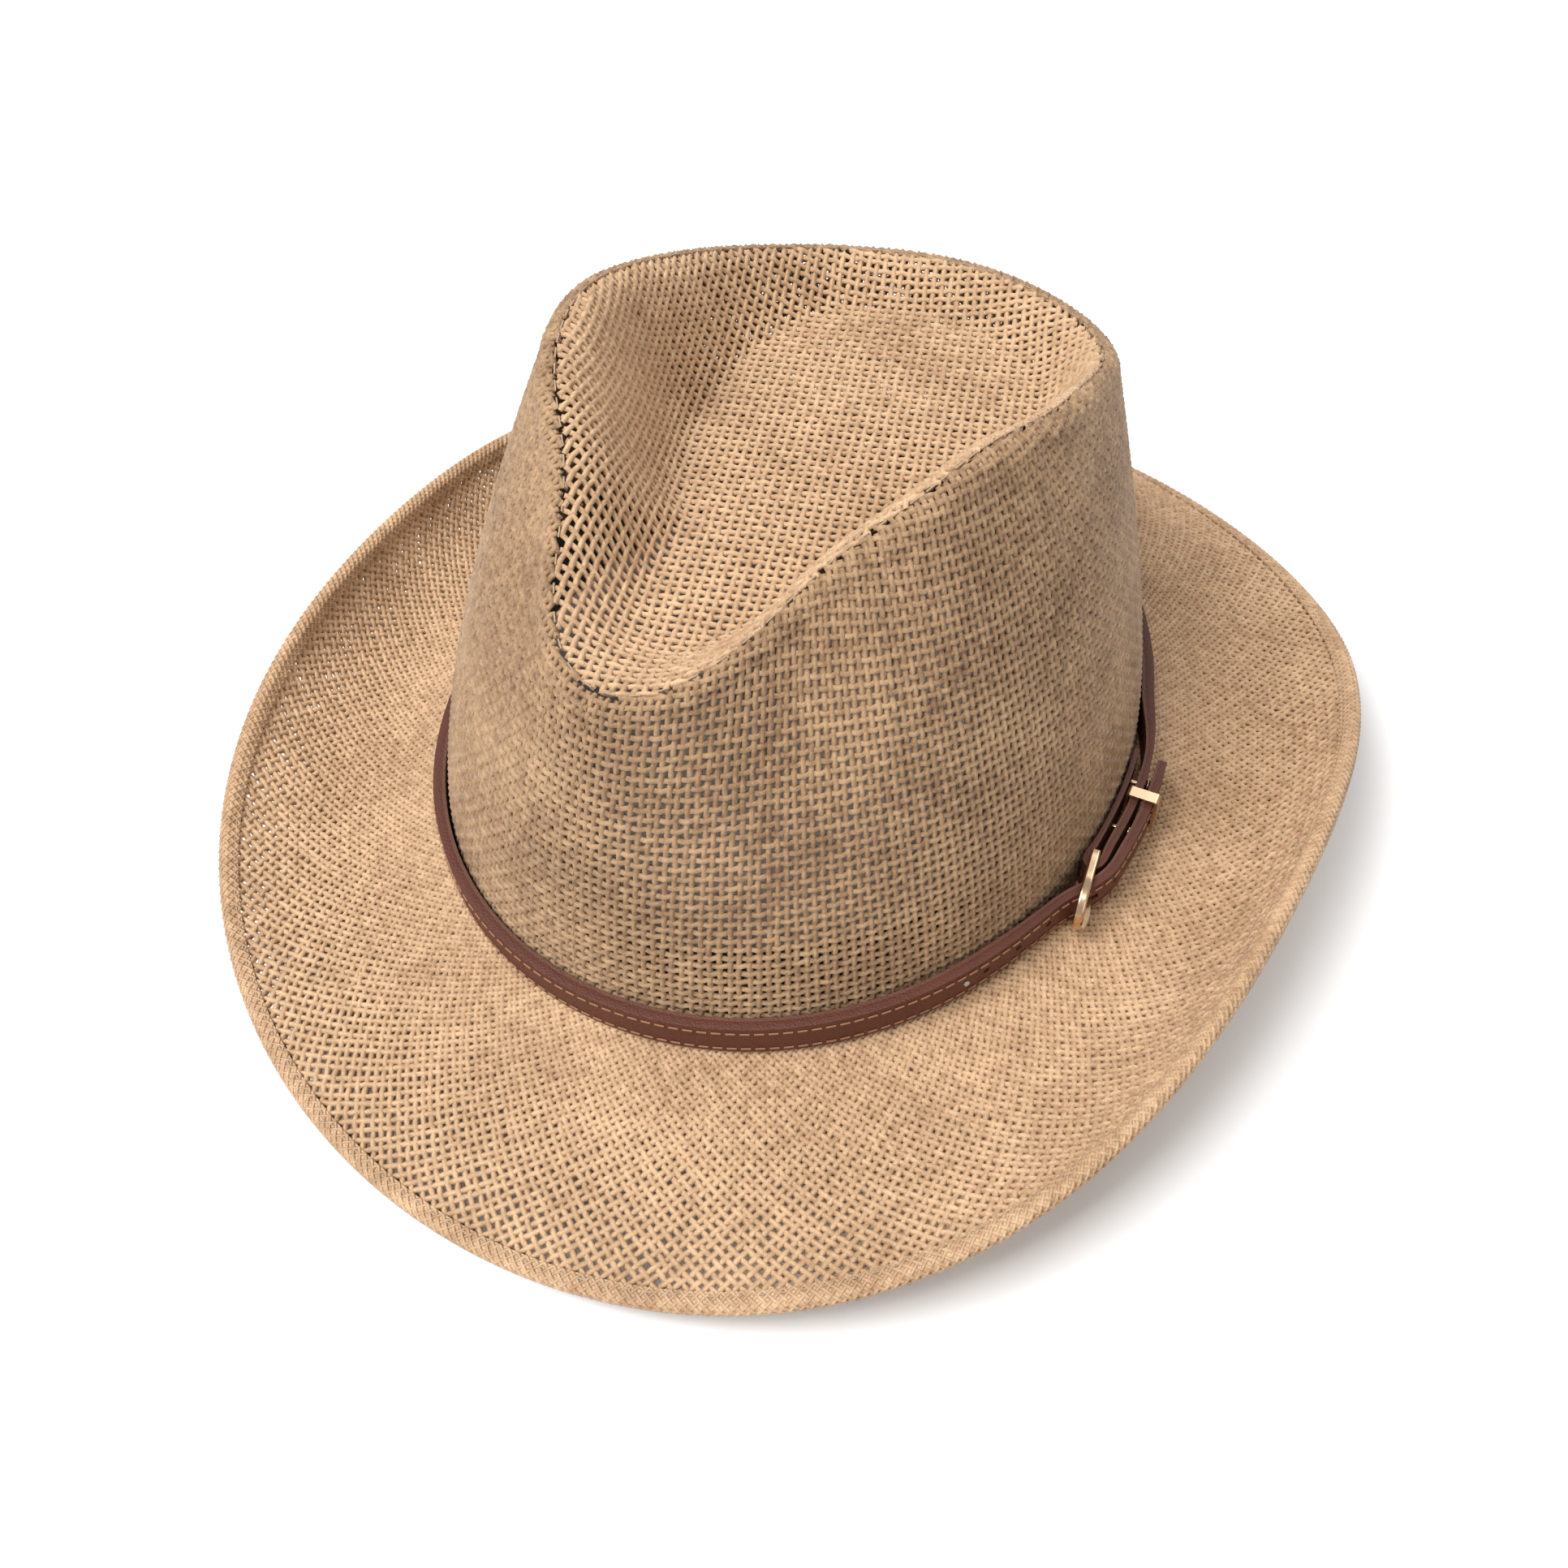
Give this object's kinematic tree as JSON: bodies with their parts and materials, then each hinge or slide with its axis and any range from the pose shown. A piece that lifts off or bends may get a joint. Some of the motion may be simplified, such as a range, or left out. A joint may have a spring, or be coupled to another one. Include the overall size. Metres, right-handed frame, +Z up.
{
  "type": "woven straw western hat",
  "caption": "Woven straw hat with a teardrop dented crown, a brim curled up at the sides and a buckled brown belt band.",
  "frame": {"origin": "middle of the bottom of the bounding box, on the ground plane under the lowest points of the brim", "axes": "+Z up, front of the hat towards -Y, wearer's left (the buckle side) towards +X"},
  "size_m": [0.2666, 0.319, 0.1374],
  "materials": {
    "straw": "woven twisted paper straw, matt with a slight sheen",
    "straw_thread": "straw-coloured sewing thread",
    "wire": "galvanised spring wire",
    "tape": "woven cotton tape",
    "sweatband_cloth": "ribbed polyester band",
    "label": "blank woven label",
    "belt_leather": "brown imitation leather, satin, fine grain",
    "belt_back": "plain backing",
    "belt_core": "padding board",
    "belt_thread": "waxed brown thread",
    "tack": "clear nylon tagging pin",
    "gold": "polished pale gold plating"
  },
  "bodies": {
    "hat": {"belt_core": "belt_core", "belt_face": "belt_leather", "belt_lining": "belt_back", "belt_stitches_lower": "belt_thread", "belt_stitches_upper": "belt_thread", "belt_tacks": "tack", "brim_hem": "straw", "brim_hem_stitches": "straw_thread", "brim_top_ply": "straw", "brim_under_ply": "straw", "brim_wire": "wire", "brim_wire_sleeve": "wire", "crown_back_stitches": "straw_thread", "crown_side": "straw", "crown_tip": "straw", "crown_tip_stitches": "straw_thread", "inner_seam_tape": "tape", "rivet_caps": "gold", "rivet_posts": "gold", "size_label": "label", "sweatband": "sweatband_cloth", "sweatband_stitches": "tape"},
    "buckle": {"buckle_frame": "gold", "buckle_bar": "gold"},
    "prong": {"buckle_prong": "gold"},
    "keeper": {"keeper_loop": "gold"}
  },
  "joints": [
    {"name": "buckle_swing", "type": "hinge", "parent": "hat", "child": "buckle", "pos_m": [0.08773, -0.01376, 0.027], "axis": [0, 0, 1], "range_deg": [0, 4]},
    {"name": "prong_swing", "type": "hinge", "parent": "buckle", "child": "prong", "pos_m": [0.08773, -0.01376, 0.027], "axis": [0, 0, 1], "range_deg": [0, 6]},
    {"name": "keeper_slide", "type": "slide", "parent": "hat", "child": "keeper", "axis": [-0.1019, 0.9948, 0], "range_m": [-0.002, 0.002]}
  ]
}
